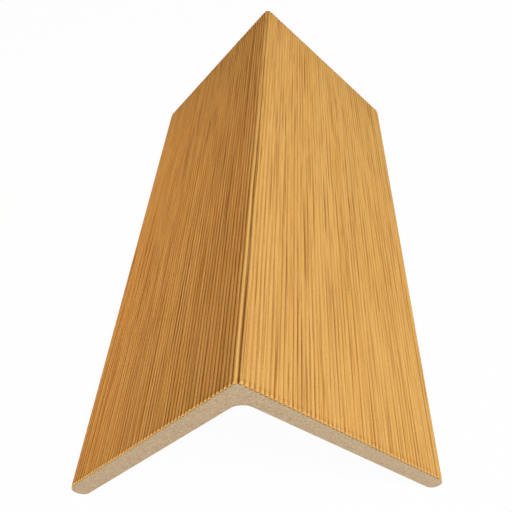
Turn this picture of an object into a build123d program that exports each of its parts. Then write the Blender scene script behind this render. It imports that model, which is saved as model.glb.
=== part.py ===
from build123d import *
import os
from math import cos, radians, sin, tan

# Composite corner trim: a sawn length of extruded angle with fine ribs along its outer faces.
# It stands on its two rounded leg tips with the ridge up. The length runs along Y, the section
# lies in XZ, and the origin is on the floor under the middle of the ridge.

# Driving dimensions, in millimetres and degrees
LENGTH = 125.0  # between the two sawn ends
LEG = 50.0  # from the sharp outer corner to the end of either leg
WALL = 4.0  # from the rib crests to the inner face
CORNER_ANGLE = 90.0  # between the two legs
OUTER_RADIUS = 1.2  # rounding of the ridge, over the rib crests
INNER_RADIUS = 2.4  # fillet between the inner faces
TIP_RADIUS = 2.4  # outer rounding of a leg's end
RIDGE_RIB = 1.2  # width of the two ribs beside the groove along the ridge
RIB_PITCH = 0.95  # wanted spacing of the other ribs, which are then spread to fill each face
RIB_DEPTH = 0.2  # from a crest to a valley

# Worked out from the driving dimensions
half_angle = radians(CORNER_ANGLE / 2)
heel_radius = WALL - RIB_DEPTH - TIP_RADIUS  # inner rounding of a leg's end, on the rest of the wall
ridge_height = (LEG - heel_radius) * cos(half_angle) + (WALL - heel_radius) * sin(half_angle) + heel_radius


def on_leg(side, reach, depth):
    """Section point `reach` down a leg from the sharp corner and `depth` under the rib crests."""
    across = reach * sin(half_angle) - depth * cos(half_angle)
    down = reach * cos(half_angle) + depth * sin(half_angle)
    return Vector(side * across, 0, ridge_height - down)


def angle_line(start, depth, radius):
    """Line down both legs at one depth, from tip to tip, rounded where the legs meet."""
    corner = on_leg(1, depth / tan(half_angle), depth)
    return FilletPolyline(on_leg(-1, start, depth), corner, on_leg(1, start, depth), radius=radius)


def rib_arcs():
    """The outer skin: one convex arc for each rib, with a groove between the two at the ridge."""
    crests = angle_line(LEG - TIP_RADIUS, 0, OUTER_RADIUS)
    half_run = crests.length / 2
    rib_count = round((half_run - RIDGE_RIB) / RIB_PITCH)
    spacing = (half_run - RIDGE_RIB) / rib_count
    down_leg = [RIDGE_RIB + spacing * rib for rib in range(rib_count + 1)]
    valleys = [-run for run in reversed(down_leg)] + [0, *down_leg]

    def skin_point(run, depth):
        along = half_run + run
        tangent = crests.tangent_at(along, position_mode=PositionMode.LENGTH)
        inward = Vector(tangent.Z, 0, -tangent.X)
        return crests.position_at(along, position_mode=PositionMode.LENGTH) + inward * depth

    return [
        ThreePointArc(
            skin_point(start, RIB_DEPTH), skin_point((start + end) / 2, 0), skin_point(end, RIB_DEPTH)
        )
        for start, end in zip(valleys, valleys[1:])
    ]


def tip_arcs(side):
    """The rounded end of a leg: a wide arc from the last valley, then a tighter one to the inner face."""
    corner = on_leg(side, 0, 0)
    outer_start = on_leg(side, LEG - TIP_RADIUS, RIB_DEPTH)
    nose = on_leg(side, LEG, RIB_DEPTH + TIP_RADIUS)
    inner_end = on_leg(side, LEG - heel_radius, WALL)
    return [
        TangentArc(outer_start, nose, tangent=on_leg(side, 1, 0) - corner),
        TangentArc(nose, inner_end, tangent=on_leg(side, 0, 1) - corner),
    ]


def corner_trim():
    """The whole section, carried along the length."""
    inner_line = angle_line(LEG - heel_radius, WALL, INNER_RADIUS)
    outline = Wire([*rib_arcs(), *tip_arcs(1), *inner_line.edges(), *tip_arcs(-1)])
    return extrude(Face(outline), amount=LENGTH / 2, dir=(0, 1, 0), both=True)


os.makedirs("parts", exist_ok=True)
export_step(corner_trim(), "parts/corner_trim.step")
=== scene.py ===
# %% [markdown]
# # A length of composite corner trim
# The trim is a short sawn piece of extruded angle. Its outer faces carry fine ribs and a golden
# teak grain, and the saw has laid bare the beige composite under that thin cap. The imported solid
# gives the size and the place of everything, so it is loaded first and its box is kept.

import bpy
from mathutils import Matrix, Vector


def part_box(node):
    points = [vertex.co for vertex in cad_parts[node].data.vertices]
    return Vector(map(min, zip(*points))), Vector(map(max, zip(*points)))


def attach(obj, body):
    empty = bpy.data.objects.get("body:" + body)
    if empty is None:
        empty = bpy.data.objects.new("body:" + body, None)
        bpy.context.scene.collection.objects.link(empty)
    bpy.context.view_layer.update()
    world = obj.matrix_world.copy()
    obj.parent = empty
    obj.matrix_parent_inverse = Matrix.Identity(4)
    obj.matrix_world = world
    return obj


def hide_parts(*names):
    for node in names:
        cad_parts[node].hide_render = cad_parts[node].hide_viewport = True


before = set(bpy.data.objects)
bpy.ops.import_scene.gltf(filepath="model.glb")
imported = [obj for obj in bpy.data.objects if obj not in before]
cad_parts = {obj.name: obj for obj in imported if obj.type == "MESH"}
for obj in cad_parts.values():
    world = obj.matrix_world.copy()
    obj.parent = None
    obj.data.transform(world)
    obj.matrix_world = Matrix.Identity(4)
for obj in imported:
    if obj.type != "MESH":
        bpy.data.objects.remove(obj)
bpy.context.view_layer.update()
print("nodes in the frame:", len(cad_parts))

import bpy
import numpy as np
from mathutils import Matrix, Vector

low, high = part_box("corner_trim")
print("solid, in mm:", [round(1000 * side, 2) for side in high - low])

# %% [markdown]
# ## The section
# Seen from its end the trim is a right angle with a rounded ridge. Each tip turns on a wide arc
# outside and a tighter one inside. A designer would sketch lines and arcs. Here one formula walks
# along the rib crests instead, so that any point of the skin is found from its distance to the
# ridge, and the grain can later use that same distance as its map. Sizes stay in millimetres until
# the points are made.

# %% Sizes of the section, in millimetres
LEG = 50.0
WALL = 4.0
RIDGE_ROUND = 1.2
INNER_ROUND = 2.4
TIP_ROUND = 2.4
RIDGE_RIB = 1.2
RIB_PITCH = 0.95
RIB_DEPTH = 0.2
SLOPE = np.sqrt(0.5)

heel_round = WALL - RIB_DEPTH - TIP_ROUND
ridge_height = (LEG + WALL - 2 * heel_round) * SLOPE + heel_round
half_run = RIDGE_ROUND * np.pi / 4 + LEG - TIP_ROUND - RIDGE_ROUND
half_length = 1000 * high.y
print("ridge before it is rounded:", round(ridge_height, 3), "mm high")
print("ribbed skin:", round(2 * half_run, 2), "mm across")


# %% The line of the rib crests
def crest_line(run):
    """Points (x, z) and outward normals at a signed distance `run` from the ridge.

    The first stretch turns on the ridge's arc, by the distance over its radius and at most an
    eighth of a turn. What is left of the distance goes straight down the leg.
    """
    side = np.sign(run)
    distance = np.abs(run)
    turn = np.minimum(distance / RIDGE_ROUND, np.pi / 4)
    normal = np.stack([side * np.sin(turn), np.cos(turn)], -1)
    straight = np.maximum(distance - RIDGE_ROUND * np.pi / 4, 0) * SLOPE
    arc_centre = np.array([0, ridge_height - RIDGE_ROUND / SLOPE])
    down_leg = np.stack([side * straight, -straight], -1)
    return arc_centre + RIDGE_ROUND * normal + down_leg, normal


def tip_arc(angle):
    """Points and normals round the right tip, from 0 at the skin to pi at the back.

    Both quarters are circles that end square to the leg. The outer one has the wider radius.
    """
    outward = np.array([SLOPE, SLOPE])
    along_leg = np.array([SLOPE, -SLOPE])
    radius = np.where(angle < np.pi / 2, TIP_ROUND, heel_round)[:, None]
    centre = np.array([0, ridge_height]) + (LEG - radius) * along_leg - (RIB_DEPTH + TIP_ROUND) * outward
    normal = np.cos(angle)[:, None] * outward + np.sin(angle)[:, None] * along_leg
    return centre + radius * normal, normal


ridge_crest = crest_line(np.zeros(1))[0][0]
print("crest line at the ridge:", round(float(ridge_crest[1]), 3), "mm high")

# %% [markdown]
# ## Ribs along the length
# The die draws every rib as a small round bead, and the drawn plastic is never quite even: a crest
# is a little lower here, a valley a little shallower there, and each line wanders by a few
# hundredths of a millimetre. A bump map would leave the outline flat, so the beads are real
# geometry. The unevenness is a sum of long cosine waves, each with its own seeded direction.

# %% Parameters of the skin grid
STEPS_PER_RIB = 12
STATIONS = 64
SAW_ARRIS = 0.3
ARRIS_DROP = 0.08
ARRIS_ROWS = 3

ribs_each_side = 1 + round((half_run - RIDGE_RIB) / RIB_PITCH)
down_leg = np.linspace(RIDGE_RIB, half_run, ribs_each_side)
valleys = np.concatenate([-down_leg[::-1], [0], down_leg])
widths = np.diff(valleys)
share = np.arange(STEPS_PER_RIB) / STEPS_PER_RIB
run = np.append((valleys[:-1, None] + widths[:, None] * share).ravel(), half_run)
width = np.append(np.repeat(widths, STEPS_PER_RIB), widths[-1])
from_crest = (np.append(np.tile(share, widths.size), 1) - 0.5) * width
inside = half_length - SAW_ARRIS
arris_rows = np.linspace(half_length, inside, ARRIS_ROWS + 1)[:-1]
along = np.concatenate([-arris_rows, np.linspace(-inside, inside, STATIONS), arris_rows[::-1]])
print("skin grid:", run.size, "points across,", along.size, "stations")


# %% Waves and beads
def drawn_waves(seed, width, length, count=28):
    """A smooth field over (run, along), from -1 to 1: the sum of `count` cosines over its spread.

    Each cosine has a seeded direction and changes over about `width` mm across and `length` along.
    """
    draw = np.random.default_rng(seed)
    across_rate = draw.normal(0, 1 / width, count)
    along_rate = draw.normal(0, 1 / length, count)
    start = draw.uniform(0, 2 * np.pi, count)
    angle = run[None, :, None] * across_rate + along[:, None, None] * along_rate + start
    return np.clip(np.cos(angle).sum(-1) / np.sqrt(2 * count), -1, 1)


def hump(distance, reach):
    """A bell curve: e to the power of minus the square of the distance over the reach."""
    return np.exp(-((distance / reach) ** 2))


def bead_sag():
    """How far each point lies under its bead's crest: a circle through the crest and both valleys."""
    radius = (width**2 / 4 + RIB_DEPTH**2) / (2 * RIB_DEPTH)
    return radius - np.sqrt(radius**2 - from_crest**2)


print("beads are", round(float(bead_sag().max()), 3), "mm deep")

# %% The ribbed skin
WANDER = 0.08
VALLEY_FILL = 0.45
OPEN_NEAR_RIDGE = 0.7
NEAR_RIDGE = 9.0
RIDGE_RIBS = 0.05
CREST_WEAR = 0.035
RIDGE_WEAR = 0.045
WEAR_REACH = 1.0
RIDGE_GROOVE = 0.12
GROOVE_REACH = 0.25
GROOVE_SHIFT = 0.12
SHIFT_REACH = 0.5
VALLEY_NOTCH = 0.06
NOTCH_REACH = 0.12

# The last rib before each tip becomes even, so that skin and tip meet.
edge_fade = np.clip((half_run - np.abs(run)) / RIB_PITCH, 0, 1)
sideways = WANDER * edge_fade * drawn_waves(seed=3, width=0.7, length=6.0)
wandering = run + sideways + GROOVE_SHIFT * hump(run, SHIFT_REACH)
near_ridge = hump(run, NEAR_RIDGE)
uneven_fill = (1 + drawn_waves(seed=5, width=0.5, length=6.0)) / 2
filled = VALLEY_FILL * edge_fade * (1 - OPEN_NEAR_RIDGE * near_ridge) * uneven_fill
sag = bead_sag() * (1 + RIDGE_RIBS * near_ridge) * (1 - filled)
wear = CREST_WEAR * edge_fade * (1 + drawn_waves(seed=8, width=0.4, length=4.0)) / 2
to_valley = width / 2 - np.abs(from_crest)
groove = RIDGE_GROOVE * hump(run, GROOVE_REACH)
notch = VALLEY_NOTCH * edge_fade * (1 - filled) * hump(to_valley, NOTCH_REACH)
wear = wear + RIDGE_WEAR * hump(run, WEAR_REACH) + groove + notch
print("lines wander by up to", round(float(np.abs(sideways).max()), 3), "mm")

# %% The skin at the saw, and its points
# Towards the cut the crests come down on a quarter of an ellipse, and the valleys stay.
sawn_off = np.clip(1 - (half_length - np.abs(along)) / SAW_ARRIS, 0, 1)
arris = (ARRIS_DROP * (1 - np.sqrt(1 - sawn_off**2)))[:, None]
on_crest = 1 - bead_sag() / RIB_DEPTH
skin_depth = sag + wear + arris * on_crest
crest, skin_normal = crest_line(wandering)
skin = crest - skin_normal * skin_depth[..., None]
print("deepest valley", round(float(skin_depth.max()), 3), "mm under the crests")

# %% [markdown]
# ## Tips, back and sawn ends
# The golden cap wraps a little way round each tip. The rest of the tip, the flat back and the
# inner fillet are bare composite, and the saw cuts through both. The back needs few points. The
# sawn end is a band of cap, a fine seam where cap and core were pressed together, and one large
# flat face. The cap is thicker on the right leg, and the core comes up to nearly the same level
# under every rib, so the cut cap is a row of small arches.

# %% The cap on the tips, and the back from the right tip to the left one
def mirrored(points):
    """The same points on the left leg, with x changed in sign and in the opposite order."""
    return points[::-1] * [-1, 1]


CAP_REACH = np.radians(40)
CAP_TIP_STEPS = 6
BARE_TIP_STEPS = 18
FILLET_POINTS = 13
LEG_STEPS = 11

angles = np.linspace(0, CAP_REACH, CAP_TIP_STEPS + 1)[1:]
cap_tip, cap_tip_normal = tip_arc(angles)
bare_tip, _ = tip_arc(np.linspace(CAP_REACH, np.pi, BARE_TIP_STEPS + 1)[1:])

fillet_centre = np.array([0, ridge_height - (WALL + INNER_ROUND) / SLOPE])
fillet_turn = np.linspace(np.pi / 4, -np.pi / 4, FILLET_POINTS)
fillet = fillet_centre + INNER_ROUND * np.stack([np.sin(fillet_turn), np.cos(fillet_turn)], -1)
leg_share = np.linspace(0, 1, LEG_STEPS + 1)[1:-1, None]
right_back = bare_tip[-1] + leg_share * (fillet[0] - bare_tip[-1])
back = np.concatenate([bare_tip, right_back, fillet, mirrored(right_back), mirrored(bare_tip)])
print("back:", len(back), "points")


# %% One ring of points for each station
def spread(points):
    """The same (x, z) points at every station."""
    return np.broadcast_to(points, (along.size, *points.shape))


right_tip = spread(cap_tip) - spread(cap_tip_normal) * (arris * angles / CAP_REACH)[..., None]
left_tip = right_tip[:, ::-1] * [-1, 1]
cap = np.concatenate([left_tip, skin, right_tip], 1)
ring = np.concatenate([cap, spread(back[:-1])], 1)
cap_count, ring_count = cap.shape[1], ring.shape[1]


def stand_up(flat, station):
    """(x, z) in millimetres and a station's place along the length become (x, y, z) in metres."""
    y = np.broadcast_to(np.asarray(station)[..., None], flat.shape[:-1])
    return 0.001 * np.stack([flat[..., 0], y, flat[..., 1]], -1)


body_points = stand_up(ring, along).reshape(-1, 3)
print("points round each station:", ring_count)


# %% The cap's seam on the sawn ends
def on_legs(left, right):
    """One value along the left leg's skin and another along the right leg's."""
    return np.where(run < 0, left, right)


CAP_ON_CREST = on_legs(left=0.07, right=0.18)
CAP_IN_VALLEY = on_legs(left=0.11, right=0.26)
CAP_ON_TIP = 0.08
THINNEST_CAP = 0.02
TIP_THINNING = 0.95
SEAM_LEVEL = on_legs(left=0.33, right=0.5)
SEAM_LINE = 0.02

normals = np.concatenate([mirrored(cap_tip_normal), crest_line(run)[1], cap_tip_normal])
cut_depth = skin_depth[[0, -1]]
skin_cap = CAP_IN_VALLEY + on_crest * (CAP_ON_CREST - CAP_IN_VALLEY)
skin_cap = np.clip(SEAM_LEVEL - cut_depth, THINNEST_CAP, skin_cap)
skin_seam = np.maximum(SEAM_LEVEL - cut_depth - skin_cap, 0) + SEAM_LINE
thinning = np.tile(1 - TIP_THINNING * angles / CAP_REACH, (2, 1))
thinnest, thickest = float(skin_cap.min()), float(skin_cap.max())
print("cut cap:", round(thinnest, 3), "to", round(thickest, 3), "mm thick")


# %% Points of the seam and of the core's edge
def with_tips(on_skin, on_tip):
    """Values along both cut edges: the left tip, the skin and the right tip."""
    return np.concatenate([on_tip[:, ::-1], on_skin, on_tip], 1)


cap_depth = with_tips(skin_cap, CAP_ON_TIP * thinning)
seam_depth = with_tips(skin_seam, SEAM_LINE * thinning)
ends = cap[[0, -1]]
seam = ends - normals * cap_depth[..., None]
core_line = seam - normals * seam_depth[..., None]
end_places = along[[0, -1]]
seam_points = stand_up(seam, end_places).reshape(-1, 3)
core_points = stand_up(core_line, end_places).reshape(-1, 3)
points = np.concatenate([body_points, seam_points, core_points])
print("points in all:", len(points))

# %% Faces along the trim
numbers = np.arange(body_points.shape[0]).reshape(along.size, ring_count)
closed = np.concatenate([numbers, numbers[:, :1]], 1)
sides = np.stack([closed[:-1, :-1], closed[:-1, 1:], closed[1:, 1:], closed[1:, :-1]], -1)
cap_sides = sides[:, : cap_count - 1]
skin_faces = cap_sides[ARRIS_ROWS:-ARRIS_ROWS].reshape(-1, 4)
arris_faces = np.concatenate([cap_sides[:ARRIS_ROWS], cap_sides[-ARRIS_ROWS:]]).reshape(-1, 4)
back_faces = sides[:, cap_count - 1 :].reshape(-1, 4)
print("faces along the trim:", sides.shape[0] * sides.shape[1])


# %% Faces of the sawn ends
def ribbon(first, second):
    """Quads between two rows of point numbers, walking along both."""
    return np.stack([first[:-1], first[1:], second[1:], second[:-1]], -1)


seam_rows = len(body_points) + np.arange(2 * cap_count).reshape(2, cap_count)
core_rows = seam_rows + 2 * cap_count
near, far = numbers[0], numbers[-1]
cut_cap_faces = np.concatenate([
    ribbon(near[:cap_count], seam_rows[0])[:, ::-1],
    ribbon(far[:cap_count], seam_rows[1]),
])
seam_faces = np.concatenate([
    ribbon(seam_rows[0], core_rows[0])[:, ::-1],
    ribbon(seam_rows[1], core_rows[1]),
])


def core_outline(end_ring, seam_row, core_row):
    """The bare core of a sawn end: under the cap, then down one tip and back along the inside."""
    right = [seam_row[-1], end_ring[cap_count - 1]]
    left = [end_ring[0], seam_row[0]]
    return [*core_row, *right, *end_ring[cap_count:], *left]


near_core = core_outline(near, seam_rows[0], core_rows[0])[::-1]
far_core = core_outline(far, seam_rows[1], core_rows[1])
core_faces = [[int(number) for number in outline] for outline in (near_core, far_core)]
cut_count = len(cut_cap_faces) + len(seam_faces) + len(core_faces)
print("faces of the sawn ends:", cut_count)

# %% [markdown]
# ## The mesh and its maps
# Three things are stored with the points for the finishes to read. The UV map unrolls the skin, so
# the grain follows it over the ridge. One attribute is 1 in the valleys and 0 on the crests, with
# a line of its own in the ridge's groove, and tells the finishes where to paint shade. Another is 1
# at the seam under each rib and 0 between.

# %% Put the arrays into a mesh
SKIN, CUT_CAP, SEAM, CORE, BACK = range(5)
groups = [
    {"faces": skin_faces.tolist(), "finish": SKIN, "smooth": True},
    # The arris faces take the cut cap's brighter gold, a painted highlight along the sawn edge.
    {"faces": arris_faces.tolist(), "finish": CUT_CAP, "smooth": True},
    {"faces": cut_cap_faces.tolist(), "finish": CUT_CAP, "smooth": False},
    {"faces": seam_faces.tolist(), "finish": SEAM, "smooth": False},
    {"faces": core_faces, "finish": CORE, "smooth": False},
    {"faces": back_faces.tolist(), "finish": BACK, "smooth": True},
]
faces = [face for group in groups for face in group["faces"]]
finish_of_face = [group["finish"] for group in groups for face in group["faces"]]
smoothness = [group["smooth"] for group in groups for face in group["faces"]]

mesh = bpy.data.meshes.new("ribbed_trim")
mesh.from_pydata(points.tolist(), [], faces)
mesh.polygons.foreach_set("material_index", finish_of_face)
mesh.polygons.foreach_set("use_smooth", smoothness)
print("mesh:", len(mesh.vertices), "points,", len(mesh.polygons), "faces")

# %% The unrolled map
# Across is the distance round the section and along is the place on the length, both from 0 to 1.
cap_run = np.concatenate([
    -half_run - TIP_ROUND * angles[::-1], run, half_run + TIP_ROUND * angles
])
back_step = np.linalg.norm(np.diff(np.concatenate([cap[1, -1:], back]), axis=0), axis=1)
ring_run = np.concatenate([cap_run, cap_run[-1] + np.cumsum(back_step)[:-1]])
girth = np.ptp(ring_run)
unrolled = np.stack(np.broadcast_arrays(ring_run[None, :], along[:, None]), -1).reshape(-1, 2)
unrolled = np.concatenate([unrolled, np.zeros((4 * cap_count, 2))])
unrolled = (unrolled - [ring_run[0], -half_length]) / [girth, 2 * half_length]

corner_points = np.empty(len(mesh.loops), np.int32)
mesh.loops.foreach_get("vertex_index", corner_points)
skin_map = mesh.uv_layers.new(name="unrolled")
skin_map.uv.foreach_set("vector", unrolled[corner_points].astype(np.float32).ravel())
print("unrolled girth", round(float(girth), 2), "mm")

# %% The valleys, where shade is painted, and the seam
GROOVE_SHADE = 1.1
GROOVE_SHADE_REACH = 0.27
ARCH_FOOT = 0.4
ARCH_RISE = 0.55
MARK_STRENGTH = on_legs(left=1.0, right=0.85)
MARK_AT_CORE = 0.8

tip_points = angles.size
# The groove's own line in the valley attribute sets how dark its painted shade is.
groove_shade_line = GROOVE_SHADE * hump(run, GROOVE_SHADE_REACH)
valley = np.zeros((along.size, ring_count))
skin_columns = slice(tip_points, tip_points + run.size)
valley[:, skin_columns] = np.where(np.abs(run) < RIDGE_RIB / 2, groove_shade_line, sag / RIB_DEPTH)
valley = np.concatenate([valley.ravel(), np.zeros(4 * cap_count)])

# A smooth step, three squares less two cubes, leads from the foot of each arch to its top.
arch = np.clip((on_crest - ARCH_FOOT) / ARCH_RISE, 0, 1)
arch = arch**2 * (3 - 2 * arch) * MARK_STRENGTH
under_crest = np.concatenate([np.zeros(tip_points), arch, np.zeros(tip_points)])
at_seam = np.zeros(len(points))
at_seam[seam_rows] = under_crest
at_seam[core_rows] = MARK_AT_CORE * under_crest
for name, values in (("valley", valley), ("seam", at_seam)):
    mesh.attributes.new(name, "FLOAT", "POINT").data.foreach_set("value", values.astype(np.float32))
print("share of the points in valleys:", round(float((valley > 0.5).mean()), 2))

# %% The object
mesh.validate()
mesh.update()
trim = bpy.data.objects.new("corner_trim_ribbed", mesh)
bpy.context.scene.collection.objects.link(trim)
print("object:", trim.name)

# %% [markdown]
# ## Wiring finishes
# A finish is a tree of nodes. These helpers only shorten the writing: one adds a node and fills its
# sockets by name, one does arithmetic, one mixes two colours, and one opens a node group with named
# sockets so that an effect can be built once and used in several finishes.


# %% Helpers for nodes
def srgb(code):
    """A colour of six hexadecimal digits as the linear values that nodes take.

    The standard curve is a straight line in the darkest tones and a power of 2.4 above them.
    """
    parts = np.array([int(code[place : place + 2], 16) for place in (0, 2, 4)]) / 255
    linear = np.where(parts <= 0.04045, parts / 12.92, ((parts + 0.055) / 1.055) ** 2.4)
    return (*(float(part) for part in linear), 1.0)


def connect(tree, value, socket):
    """Links a socket to a socket, or writes a plain value on it."""
    if isinstance(value, bpy.types.NodeSocket):
        tree.links.new(value, socket)
    else:
        socket.default_value = value


def add(tree, kind, settings=None, inputs=None):
    """A node with its own settings, and its inputs by name or number."""
    made = tree.nodes.new("ShaderNode" + kind)
    for name, value in (settings or {}).items():
        setattr(made, name, value)
    for name, value in (inputs or {}).items():
        connect(tree, value, made.inputs[name])
    return made


def calculate(tree, operation, *values):
    """The result of one Math node."""
    made = add(tree, "Math", {"operation": operation}, dict(enumerate(values)))
    return made.outputs["Value"]


def blend(tree, share, first, second, how="MIX"):
    """Two colours mixed by a share from 0 to 1."""
    made = add(tree, "Mix", {"data_type": "RGBA", "blend_type": how}, {0: share, 6: first, 7: second})
    return made.outputs[2]


def open_group(name, inputs, outputs):
    """An empty node group with its sockets, its input node's outputs and its output node."""
    tree = bpy.data.node_groups.new(name, "ShaderNodeTree")
    for socket, kind in inputs.items():
        tree.interface.new_socket(socket, in_out="INPUT", socket_type="NodeSocket" + kind)
    for socket, kind in outputs.items():
        tree.interface.new_socket(socket, in_out="OUTPUT", socket_type="NodeSocket" + kind)
    return tree, tree.nodes.new("NodeGroupInput").outputs, tree.nodes.new("NodeGroupOutput")


def use_group(tree, group, inputs, output):
    """Places a group in a tree and returns one of its outputs."""
    made = add(tree, "Group", {"node_tree": group}, inputs)
    return made.outputs[output]


# %% [markdown]
# ## Three effects, each built once
# Everything that leaves a die is drawn out along its length. The drawn grain, a soft noise squeezed
# to a width and stretched to a length, gives drifts, die lines and scratches. The fibres are cells
# drawn out in the same way: each has a core that tapers at both ends and a rim round it, and some
# stand out more than others. The third effect is the even speckle of wood flour in plastic. All
# three could be painted, but groups of nodes stay sharp close up and take another size at will.

# %% Drawn grain
def drawn_spot(tree, given):
    """A place squeezed and stretched: across over the width, along over the length, and a shift."""
    split = add(tree, "SeparateXYZ", inputs={"Vector": given["Place"]}).outputs
    squeezed = calculate(tree, "DIVIDE", split["X"], given["Width"])
    stretched = calculate(tree, "DIVIDE", split["Y"], given["Length"])
    spot = {"X": squeezed, "Y": stretched, "Z": given["Shift"]}
    return add(tree, "CombineXYZ", inputs=spot).outputs["Vector"]


grain_tree, given, result = open_group(
    "drawn grain",
    {
        "Place": "Vector",
        "Width": "Float",
        "Length": "Float",
        "Shift": "Float",
        "Low": "Float",
        "High": "Float",
    },
    {"Amount": "Float"},
)
noise_values = {"Vector": drawn_spot(grain_tree, given), "Scale": 1.0, "Detail": 2.0}
noise = add(grain_tree, "TexNoise", inputs=noise_values)
limits = {"Value": noise.outputs["Fac"], "From Min": given["Low"], "From Max": given["High"]}
picked = add(grain_tree, "MapRange", {"interpolation_type": "SMOOTHSTEP"}, limits)
grain_tree.links.new(picked.outputs["Result"], result.inputs["Amount"])
print("drawn grain:", len(grain_tree.nodes), "nodes")

# %% Tapered streaks
STREAK_REACH = 0.36
FAINTEST_STREAK = 0.15

streak_tree, given, result = open_group(
    "tapered streaks",
    {"Place": "Vector", "Width": "Float", "Length": "Float", "Shift": "Float", "Rarity": "Float"},
    {"Core": "Float", "Edges": "Float"},
)
cell_values = {"Vector": drawn_spot(streak_tree, given), "Scale": 2 * STREAK_REACH}
cells = add(streak_tree, "TexVoronoi", inputs=cell_values)


def within(far, near):
    """1 nearer to a streak's middle than `near`, 0 farther than `far`, both in shares of its reach."""
    limits = {"From Min": far * STREAK_REACH, "From Max": near * STREAK_REACH}
    made = add(streak_tree, "MapRange", {"interpolation_type": "SMOOTHSTEP"}, limits)
    streak_tree.links.new(cells.outputs["Distance"], made.inputs["Value"])
    return made.outputs["Result"]


chance = add(streak_tree, "SeparateColor", inputs={"Color": cells.outputs["Color"]}).outputs["Red"]
picked = calculate(streak_tree, "POWER", chance, given["Rarity"])
strength = calculate(streak_tree, "MULTIPLY_ADD", picked, 1 - FAINTEST_STREAK, FAINTEST_STREAK)
core = calculate(streak_tree, "MULTIPLY", within(far=1.0, near=0.3), strength)
rim = calculate(streak_tree, "SUBTRACT", within(far=1.9, near=1.5), within(far=1.3, near=1.0))
streak_tree.links.new(core, result.inputs["Core"])
streak_tree.links.new(calculate(streak_tree, "MULTIPLY", rim, strength), result.inputs["Edges"])
print("tapered streaks:", len(streak_tree.nodes), "nodes")

# %% Flour speckle
speckle_tree, given, result = open_group(
    "flour speckle", {"Place": "Vector", "Grain": "Float", "Spread": "Float"}, {"Tone": "Float"}
)
smaller = add(speckle_tree, "VectorMath", {"operation": "SCALE"}, {"Vector": given["Place"]})
speckle_tree.links.new(calculate(speckle_tree, "DIVIDE", 1.0, given["Grain"]), smaller.inputs["Scale"])
noise_values = {"Vector": smaller.outputs["Vector"], "Scale": 1.0, "Detail": 3.0}
noise = add(speckle_tree, "TexNoise", inputs=noise_values)
centred = calculate(speckle_tree, "SUBTRACT", noise.outputs["Fac"], 0.5)
swing = calculate(speckle_tree, "MULTIPLY", centred, given["Spread"])
speckle_tree.links.new(calculate(speckle_tree, "ADD", swing, 1.0), result.inputs["Tone"])
print("flour speckle:", len(speckle_tree.nodes), "nodes")

# %% [markdown]
# ## The golden skin
# The cap is coloured like teak: a honey ground, warmer and greener drifts, pale fibres, dark brown
# fibres that taper at both ends with pale rims, a few dark lines as long as the trim, and a fine
# speckle. The valleys hold deeper lines, partly their own tone and partly painted shade, strongest by
# the ridge and by the cut. The left face has a band of painted shade by the ridge, and the rib beside
# the ridge's groove has a painted highlight. An image would need a photograph, so each layer is one of
# the effects above at its own size, in millimetres on the unrolled map. The two faces came out of the
# die a little different, so some strengths change from the left face to the right one.

# %% Places that finishes read, in millimetres
def start_finish(name):
    """A new material with its tree and its Principled shader."""
    material = bpy.data.materials.new(name)
    material.use_nodes = True
    return material, material.node_tree, material.node_tree.nodes["Principled BSDF"]


def unrolled_place(tree):
    """The place on the unrolled skin: across from one tip, along from the near end."""
    read = add(tree, "UVMap", {"uv_map": "unrolled"})
    scale = (float(girth), 2 * half_length, 1.0)
    return add(tree, "Mapping", inputs={"Vector": read.outputs["UV"], "Scale": scale}).outputs["Vector"]


def solid_place(tree):
    """The place in the solid."""
    read = add(tree, "TexCoord").outputs["Object"]
    scale = (1000.0, 1000.0, 1000.0)
    return add(tree, "Mapping", inputs={"Vector": read, "Scale": scale}).outputs["Vector"]


# %% Layers that finishes share
def shaded(tree, share, strength):
    """A layer's share times a strength."""
    return calculate(tree, "MULTIPLY", share, strength)


def fades(tree, distance, start, end, becomes):
    """1 up to a distance, then a smooth change to another value, which holds from the end on."""
    limits = {"Value": distance, "From Min": start, "From Max": end, "To Min": 1.0, "To Max": becomes}
    return add(tree, "MapRange", {"interpolation_type": "SMOOTHSTEP"}, limits).outputs["Result"]


def grain(tree, place, width, length, shift, low, high):
    """One layer of drawn grain."""
    values = {"Place": place, "Width": width, "Length": length, "Shift": shift, "Low": low, "High": high}
    return use_group(tree, grain_tree, values, "Amount")


def streaks(tree, place, fibre):
    """One layer of tapered streaks: their cores and the rims round them."""
    values = {"Place": place}
    for name in ("Width", "Length", "Shift", "Rarity"):
        values[name] = fibre[name.lower()]
    made = add(tree, "Group", {"node_tree": streak_tree}, values)
    return made.outputs["Core"], made.outputs["Edges"]


def speckled(tree, colour, place, size, spread):
    """A colour with the flour speckle over it."""
    tone = use_group(tree, speckle_tree, {"Place": place, "Grain": size, "Spread": spread}, "Tone")
    tones = add(tree, "CombineXYZ", inputs={"X": tone, "Y": tone, "Z": tone}).outputs["Vector"]
    return blend(tree, 1.0, colour, tones, "MULTIPLY")


def wandering_place(tree, place, reach):
    """The same place pushed sideways by a long slow drift, so that streaks are not ruled lines."""
    drift = grain(tree, place, width=14.0, length=45.0, shift=31.0, low=0.0, high=1.0)
    push = calculate(tree, "MULTIPLY_ADD", drift, 2 * reach, -reach)
    sideways = add(tree, "CombineXYZ", inputs={"X": push}).outputs["Vector"]
    return add(tree, "VectorMath", {"operation": "ADD"}, {0: place, 1: sideways}).outputs["Vector"]


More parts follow.
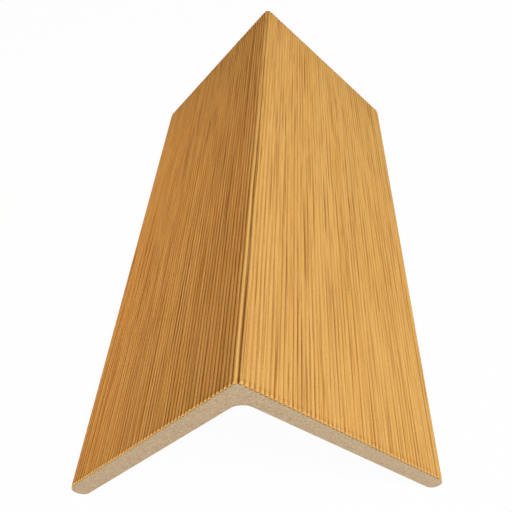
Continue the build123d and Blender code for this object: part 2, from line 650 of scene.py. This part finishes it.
# %% Ground of the golden skin
skin_finish, tree, shader = start_finish("golden_teak_skin")
ruled = unrolled_place(tree)
drawn = wandering_place(tree, ruled, reach=0.3)
honey = grain(tree, drawn, width=6.0, length=70.0, shift=1.0, low=0.3, high=0.7)
colour = blend(tree, honey, srgb("DCA251"), srgb("E1AB5C"))
drifts = [
    {"width": 2.2, "length": 38.0, "shift": 2.0, "strength": 0.3, "colour": "D0904A"},
    {"width": 3.0, "length": 46.0, "shift": 3.0, "strength": 0.22, "colour": "CBA158"},
]
for drift in drifts:
    amount = grain(tree, drawn, drift["width"], drift["length"], drift["shift"], low=0.5, high=0.72)
    colour = blend(tree, shaded(tree, amount, drift["strength"]), colour, srgb(drift["colour"]))
pale_fibres = [
    {"width": 0.45, "length": 18.0, "shift": 4.3, "rarity": 1.4, "strength": 0.5, "colour": "EBB866"},
    {"width": 0.3, "length": 5.0, "shift": 8.4, "rarity": 1.4, "strength": 0.5, "colour": "EDBC6E"},
]
for fibre in pale_fibres:
    core, _ = streaks(tree, drawn, fibre)
    colour = blend(tree, shaded(tree, core, fibre["strength"]), colour, srgb(fibre["colour"]))
print("ground:", len(drifts), "drifts and", len(pale_fibres), "sizes of pale fibre")

# %% Distances on the skin
RIDGE_TURN = 1.0

on_skin = add(tree, "SeparateXYZ", inputs={"Vector": ruled}).outputs
right_of_ridge = calculate(tree, "ADD", on_skin["X"], float(ring_run[0]))
from_ridge = calculate(tree, "ABSOLUTE", right_of_ridge)
from_near_end = on_skin["Y"]
from_middle = calculate(tree, "ABSOLUTE", calculate(tree, "SUBTRACT", from_near_end, half_length))
from_cut = calculate(tree, "SUBTRACT", half_length, from_middle)


def on_faces(left, right):
    """One value on the left face and another on the right face."""
    limits = {"From Min": -RIDGE_TURN, "From Max": RIDGE_TURN, "To Min": left, "To Max": right}
    return add(tree, "MapRange", inputs={"Value": right_of_ridge, **limits}).outputs["Result"]


print("the ridge is", round(-float(ring_run[0]), 2), "mm across the map")

# %% Dark fibres of the golden skin
PALE_RIM = "EAB66A"

dark_fibres = [
    {"width": 0.48, "length": 40.0, "shift": 5.6, "rarity": 1.4, "strength": 0.72, "colour": "925526"},
    {"width": 0.4, "length": 28.0, "shift": 10.1, "rarity": 1.4, "strength": 0.72, "colour": "925526"},
    {"width": 0.32, "length": 18.0, "shift": 6.2, "rarity": 1.4, "strength": 0.62, "colour": "985A2A"},
    {"width": 0.24, "length": 8.0, "shift": 7.7, "rarity": 1.4, "strength": 0.45, "colour": "A06432"},
]
pores = 0.0
for fibre in dark_fibres:
    core, edges = streaks(tree, drawn, fibre)
    amount = shaded(tree, core, fibre["strength"])
    amount = calculate(tree, "MULTIPLY", amount, on_faces(left=1.2, right=1.0))
    colour = blend(tree, shaded(tree, edges, fibre["strength"]), colour, srgb(PALE_RIM))
    colour = blend(tree, amount, colour, srgb(fibre["colour"]))
    pores = calculate(tree, "MAXIMUM", pores, amount)
long_fibre = {"width": 0.4, "length": 110.0, "shift": 14.2, "rarity": 4.0, "rim": 0.5}
core, edges = streaks(tree, ruled, long_fibre)
amount = calculate(tree, "MULTIPLY", core, on_faces(left=0.95, right=0.4))
colour = blend(tree, shaded(tree, edges, long_fibre["rim"]), colour, srgb(PALE_RIM))
colour = blend(tree, amount, colour, srgb("8A4E24"))
print("dark fibres:", len(dark_fibres), "sizes and the long lines")

# %% Where the painted shade in the valleys of the golden skin is strong
LINE_GRAIN = 0.48
LINE_BASE = 0.28
GROOVE_SHADE_EXTRA = 0.25
LEFT_EXTRA = 1.25

# The valley lines are painted shade in the rib valleys and the ridge's groove, over the valleys' own
# deeper tone.
by_ridge = fades(tree, from_ridge, start=6.0, end=40.0, becomes=0.5)
in_front = fades(tree, from_near_end, start=25.0, end=65.0, becomes=0.35)
by_cut = fades(tree, from_cut, start=0.5, end=14.0, becomes=0.4)
strong = calculate(tree, "MULTIPLY", on_faces(left=0.5, right=by_ridge), in_front)
strong = calculate(tree, "MAXIMUM", strong, by_cut)
valley_shade_strength = grain(tree, ruled, width=0.32, length=32.0, shift=21.0, low=0.40, high=0.64)
left_valley_shade = fades(tree, from_near_end, start=40.0, end=95.0, becomes=0.5)
left_valley_shade = shaded(tree, left_valley_shade, LEFT_EXTRA)
valley_shade_strength = calculate(tree, "MULTIPLY", valley_shade_strength, on_faces(left=left_valley_shade, right=1.0))
past_ridge = fades(tree, from_ridge, start=4.0, end=12.0, becomes=2.0)
valley_shade_strength = calculate(tree, "MULTIPLY", valley_shade_strength, shaded(tree, past_ridge, LINE_GRAIN))
valley_shade_strength = calculate(tree, "MULTIPLY_ADD", strong, LINE_BASE, valley_shade_strength)
groove_shade = fades(tree, from_ridge, start=0.3, end=0.8, becomes=0.0)
groove_length = fades(tree, from_near_end, start=55.0, end=100.0, becomes=0.0)
groove_shade = calculate(tree, "MULTIPLY", groove_shade, groove_length)
valley_shade_strength = calculate(tree, "MULTIPLY_ADD", groove_shade, GROOVE_SHADE_EXTRA, valley_shade_strength)
print("golden skin so far:", len(tree.nodes), "nodes")

# %% Painted shade by the ridge and a painted highlight beside the groove
LEFT_SHADE = 0.15
HIGHLIGHT_FROM_RIDGE = 0.3
HIGHLIGHT_SHARE = 0.85

# Painted shade: the left face is darkened towards A86424 near the ridge.
painted_left_shade = fades(tree, from_ridge, start=5.0, end=20.0, becomes=0.0)
painted_left_shade = calculate(tree, "MULTIPLY", painted_left_shade, on_faces(left=LEFT_SHADE, right=0.0))
colour = blend(tree, painted_left_shade, colour, srgb("A86424"))
# Painted highlight: the rib just left of the ridge's groove is painted pale, where it catches the light.
from_highlight = calculate(tree, "ADD", right_of_ridge, HIGHLIGHT_FROM_RIDGE)
from_highlight = calculate(tree, "ABSOLUTE", from_highlight)
highlighted = fades(tree, from_highlight, start=0.06, end=0.36, becomes=0.0)
highlight_length = fades(tree, from_near_end, start=40.0, end=95.0, becomes=0.0)
highlighted = calculate(tree, "MULTIPLY", highlighted, highlight_length)
colour = blend(tree, shaded(tree, highlighted, HIGHLIGHT_SHARE), colour, srgb("FFCC78"))
print("rubbed rib:", HIGHLIGHT_FROM_RIDGE, "mm left of the ridge")

# %% Painted shade in the valleys and behind the beads, and the speckle
DARKEST_VALLEY_SHADE = 0.88
SHADE_BEHIND_BEADS = 0.5

# Painted shade: the valleys and the groove are darkened towards 864A1C by the valley attribute.
in_valley = add(tree, "Attribute", {"attribute_name": "valley"}).outputs["Fac"]
valley_shade_shape = calculate(tree, "POWER", in_valley, on_faces(left=0.9, right=1.3))
lines = calculate(tree, "MULTIPLY", valley_shade_shape, valley_shade_strength)
lines = add(tree, "Clamp", inputs={"Value": lines, "Max": DARKEST_VALLEY_SHADE}).outputs["Result"]
colour = blend(tree, lines, colour, srgb("864A1C"))
# Painted shade: the valleys within about a millimetre and a half of the cut are darkened behind the
# beads.
shade_behind_beads = fades(tree, from_cut, start=0.5, end=1.5, becomes=0.0)
shade_behind_beads = calculate(tree, "MULTIPLY", in_valley, shade_behind_beads)
colour = blend(tree, shaded(tree, shade_behind_beads, SHADE_BEHIND_BEADS), colour, srgb("6A3812"))
connect(tree, speckled(tree, colour, ruled, size=0.24, spread=0.6), shader.inputs["Base Color"])
print("colour of the golden skin:", len(tree.nodes), "nodes")

# %% Sheen and fine scratches of the golden skin
SMOOTHEST = 0.58
SCRATCH_ROUGHNESS = 0.14
SCRATCH_HEIGHT = 0.2

scratches = grain(tree, drawn, width=0.16, length=6.0, shift=9.0, low=0.25, high=0.75)
roughness = calculate(tree, "MULTIPLY_ADD", scratches, SCRATCH_ROUGHNESS, SMOOTHEST)
connect(tree, roughness, shader.inputs["Roughness"])
shader.inputs["Specular IOR Level"].default_value = 0.005
height = calculate(tree, "SUBTRACT", shaded(tree, scratches, SCRATCH_HEIGHT), pores)
relief = add(tree, "Bump", inputs={"Strength": 1.0, "Distance": 0.0001, "Height": height})
connect(tree, relief.outputs["Normal"], shader.inputs["Normal"])
print("golden skin:", len(tree.nodes), "nodes")

# %% [markdown]
# ## The sawn ends
# A saw shows what the trim is made of. The cap is a row of golden arches with brown painted shade in
# the notches between them, and a short dark mark under each arch where cap and core were pressed
# together. On the left leg the arches are painted brighter as a highlight and the notches darker.
# The core is beige, mottled by wood flour, greyer beside the cap and browner towards the back, with
# faint slanting marks from the teeth. Its pattern comes from the place in the solid. The back has
# the same recipe, drawn out along the trim on the unrolled map.

# %% The cut cap
SIDE_TURN = 2.0
NOTCH_SHADE_SHAPE = 0.9
NOTCH_SHADE_SHARE = 0.9

cut_finish, tree, shader = start_finish("cut_golden_cap")
place = solid_place(tree)
across = add(tree, "SeparateXYZ", inputs={"Vector": place}).outputs["X"]
limits = {"Value": across, "From Min": -SIDE_TURN, "From Max": SIDE_TURN}
side = add(tree, "MapRange", inputs=limits).outputs["Result"]
# Painted highlight: the gold is brighter on the left leg, where the arches catch the light.
gold_and_highlight = blend(tree, side, srgb("FFCB74"), srgb("E4AF61"))
gold_and_highlight = speckled(tree, gold_and_highlight, place, size=0.2, spread=0.3)
in_valley = add(tree, "Attribute", {"attribute_name": "valley"}).outputs["Fac"]
# Painted shade in the notches between the arches, deeper on the left leg.
notch_shade = shaded(tree, calculate(tree, "POWER", in_valley, NOTCH_SHADE_SHAPE), NOTCH_SHADE_SHARE)
notch_shade_colour = blend(tree, side, srgb("7E3E08"), srgb("AA5A06"))
connect(tree, blend(tree, notch_shade, gold_and_highlight, notch_shade_colour), shader.inputs["Base Color"])
shader.inputs["Roughness"].default_value = 0.5
shader.inputs["Specular IOR Level"].default_value = 0.1
print("cut cap:", len(tree.nodes), "nodes")

# %% The seam under the cap
seam_finish, tree, shader = start_finish("dark_seam")
seam_line = add(tree, "Attribute", {"attribute_name": "seam"}).outputs["Fac"]
connect(tree, blend(tree, seam_line, srgb("C4AC86"), srgb("66421A")), shader.inputs["Base Color"])
shader.inputs["Roughness"].default_value = 0.8
shader.inputs["Specular IOR Level"].default_value = 0.1
print("seam:", len(tree.nodes), "nodes")

# %% The core, sawn and drawn
SAWN_ROUGHNESS = 0.6
FIBRE_ROUGHNESS = 0.15


def composite(name, place_of, length, tooth_turn):
    """Beige composite with flour speckle, and with tool marks `length` mm long, turned by an angle."""
    material, tree, shader = start_finish(name)
    place = place_of(tree)
    solid = add(tree, "SeparateXYZ", inputs={"Vector": solid_place(tree)}).outputs
    # The depth is measured straight down from the outer face, so the back is the wall over the slope.
    beside = calculate(tree, "ABSOLUTE", solid["X"])
    depth = calculate(tree, "SUBTRACT", ridge_height, calculate(tree, "ADD", beside, solid["Z"]))
    inner = add(tree, "MapRange", inputs={"Value": depth, "From Min": 0.0, "From Max": WALL / SLOPE})
    colour = blend(tree, inner.outputs["Result"], srgb("C5AE8D"), srgb("C3A786"))
    turned = add(tree, "Mapping", inputs={"Vector": place, "Rotation": tooth_turn}).outputs["Vector"]
    marks = grain(tree, turned, width=0.5, length=length, shift=11.0, low=0.3, high=0.7)
    patches = grain(tree, turned, width=1.6, length=length / 3, shift=12.0, low=0.35, high=0.7)
    fibres = grain(tree, turned, width=0.22, length=length / 6, shift=13.0, low=0.6, high=0.78)
    layers = [
        {"amount": marks, "strength": 0.16, "colour": "A98F6C"},
        {"amount": patches, "strength": 0.22, "colour": "CDBA98"},
        {"amount": fibres, "strength": 0.25, "colour": "97794F"},
    ]
    for layer in layers:
        amount = shaded(tree, layer["amount"], layer["strength"])
        colour = blend(tree, amount, colour, srgb(layer["colour"]))
    colour = speckled(tree, colour, place, size=0.24, spread=1.25)
    connect(tree, colour, shader.inputs["Base Color"])
    roughness = calculate(tree, "MULTIPLY_ADD", fibres, FIBRE_ROUGHNESS, SAWN_ROUGHNESS)
    connect(tree, roughness, shader.inputs["Roughness"])
    shader.inputs["Specular IOR Level"].default_value = 0.1
    relief = add(tree, "Bump", inputs={"Strength": 0.4, "Distance": 0.00005, "Height": marks})
    connect(tree, relief.outputs["Normal"], shader.inputs["Normal"])
    print(name + ":", len(tree.nodes), "nodes")
    return material


def upright_place(tree):
    """The place on a sawn end: across in X, up in Y."""
    read = add(tree, "SeparateXYZ", inputs={"Vector": solid_place(tree)}).outputs
    swapped = {"X": read["X"], "Y": read["Z"], "Z": read["Y"]}
    return add(tree, "CombineXYZ", inputs=swapped).outputs["Vector"]


slanting = (0.0, 0.0, np.radians(35))
straight = (0.0, 0.0, 0.0)
sawn_finish = composite("sawn_composite", upright_place, length=3.0, tooth_turn=slanting)
back_finish = composite("drawn_composite_back", unrolled_place, length=60.0, tooth_turn=straight)

# %% [markdown]
# ## Dress the frame
# The new mesh stands for the plain solid, which stays in the frame for its collision. It rides on
# the only body that a piece of stock has.

# %% Finishes on the mesh, and the mesh on its body
for finish in (skin_finish, cut_finish, seam_finish, sawn_finish, back_finish):
    mesh.materials.append(finish)
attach(trim, "root")
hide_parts("corner_trim")
print("triangles:", sum(len(face) - 2 for face in faces))

# %% [markdown]
# ## Floor and surroundings
# The trim stands on white. The floor glows evenly for the camera and takes light as a matt white
# card for everything else, so it is white in the picture and still holds a soft shadow. The sky is
# white to look at too, but the light that it gives is weak and warm.

# %% What shows the white
def looked_at(tree):
    """1 for the rays that look at the surroundings: from the camera, by a mirror or through glass."""
    rays = add(tree, "LightPath").outputs
    mirrored_too = calculate(tree, "MAXIMUM", rays["Is Camera Ray"], rays["Is Glossy Ray"])
    return calculate(tree, "MAXIMUM", mirrored_too, rays["Is Transmission Ray"])


# %% A white floor
FLOOR_SIDE = 3.0
FLOOR_GLOW = 0.97
corners = FLOOR_SIDE * np.array([[-1, -1, 0], [1, -1, 0], [1, 1, 0], [-1, 1, 0]]) / 2
floor_mesh = bpy.data.meshes.new("white_floor")
floor_mesh.from_pydata(corners.tolist(), [], [[0, 1, 2, 3]])
floor = bpy.data.objects.new("white_floor", floor_mesh)
bpy.context.scene.collection.objects.link(floor)

floor_finish, tree, shader = start_finish("white_card")
shader.inputs["Base Color"].default_value = (0.85, 0.85, 0.85, 1.0)
shader.inputs["Roughness"].default_value = 0.9
shader.inputs["Specular IOR Level"].default_value = 0.0
glow = add(tree, "Emission", inputs={"Color": (1.0, 1.0, 1.0, 1.0), "Strength": 1.0})
seen = calculate(tree, "MULTIPLY", looked_at(tree), FLOOR_GLOW)
mixed = add(tree, "MixShader", inputs={0: seen, 1: shader.outputs["BSDF"], 2: glow.outputs["Emission"]})
tree.links.new(mixed.outputs["Shader"], tree.nodes["Material Output"].inputs["Surface"])
floor_mesh.materials.append(floor_finish)
print("floor:", FLOOR_SIDE, "m square")

# %% White surroundings
SKY_LIGHT = 0.11
SKY_TINT = (1.0, 0.82, 0.62, 1.0)
world = bpy.data.worlds.new("white_room")
bpy.context.scene.world = world
world.use_nodes = True
tree = world.node_tree
shown = looked_at(tree)
strength = calculate(tree, "MULTIPLY_ADD", shown, 1.0 - SKY_LIGHT, SKY_LIGHT)
connect(tree, strength, tree.nodes["Background"].inputs["Strength"])
sky_colour = blend(tree, shown, SKY_TINT, (1.0, 1.0, 1.0, 1.0))
connect(tree, sky_colour, tree.nodes["Background"].inputs["Color"])
print("light from the sky:", SKY_LIGHT)

# %% [markdown]
# ## Light
# One soft lamp stands high on the right, so the right face is bright, the left face is in half
# shade and light grazes its ribs. A weaker one in front lifts the sawn end. A small warm lamp, low
# on the left, gives that face its glow, and a small low one behind lights the far sawn end alone.

# %% Lamps
TARGET = Vector((0.0, 0.0, 0.02))


def soft_lamp(name, place, side, watts, tint=(1.0, 1.0, 1.0)):
    """A square lamp that faces the trim."""
    light = bpy.data.lights.new(name, "AREA")
    light.size = side
    light.energy = watts
    light.color = tint
    lamp = bpy.data.objects.new(name, light)
    lamp.location = place
    lamp.rotation_euler = (TARGET - lamp.location).to_track_quat("-Z", "Y").to_euler()
    lamp.visible_camera = False
    bpy.context.scene.collection.objects.link(lamp)
    return lamp


COOL = (1.0, 1.055, 1.10)
WARM = (1.0, 0.60, 0.31)

lamps = [
    soft_lamp("key_lamp", Vector((0.3215, -0.204, 0.583)), side=0.2, watts=3.72, tint=COOL),
    soft_lamp("front_lamp", Vector((0.02, -0.60, 0.16)), side=0.40, watts=1.2),
    soft_lamp("warm_lamp", Vector((-0.14, -0.012, 0.03)), side=0.12, watts=0.094, tint=WARM),
    soft_lamp("end_lamp", Vector((0.0, 0.42, 0.014)), side=0.02, watts=0.4),
]
print("lamps:", [lamp.name for lamp in lamps])

# %% [markdown]
# ## Camera
# The long edges of the trim meet at a vanishing point, and so do the edges of each leg. Together
# with the known section they give the lens, the place and the tilt of the camera. The picture was
# trimmed off centre, which a small lens shift repeats.

# %% The camera
FRAME_PX = 512
FOCAL_PX = 581.35
CENTRE_PX = (308.86, 273.55)
CAMERA_PLACE = Vector((0.010386, -0.107386, 0.107192))
LOOK_DOWN, LOOK_RIGHT, LEAN = np.radians([46.868, -0.0215, 1.1329])

lens = bpy.data.cameras.new("camera")
lens.sensor_width = 36.0
lens.lens = FOCAL_PX / FRAME_PX * lens.sensor_width
lens.shift_x = (FRAME_PX / 2 - CENTRE_PX[0]) / FRAME_PX
lens.shift_y = (CENTRE_PX[1] - FRAME_PX / 2) / FRAME_PX
lens.clip_start = 0.005
camera = bpy.data.objects.new("camera", lens)
turn = Matrix.Rotation(-LOOK_RIGHT, 4, "Z") @ Matrix.Rotation(np.pi / 2 - LOOK_DOWN, 4, "X")
camera.matrix_world = Matrix.Translation(CAMERA_PLACE) @ turn @ Matrix.Rotation(-LEAN, 4, "Z")
bpy.context.scene.collection.objects.link(camera)
bpy.context.scene.camera = camera
bpy.context.scene.view_settings.view_transform = "Standard"
print("lens", round(lens.lens, 2), "mm")
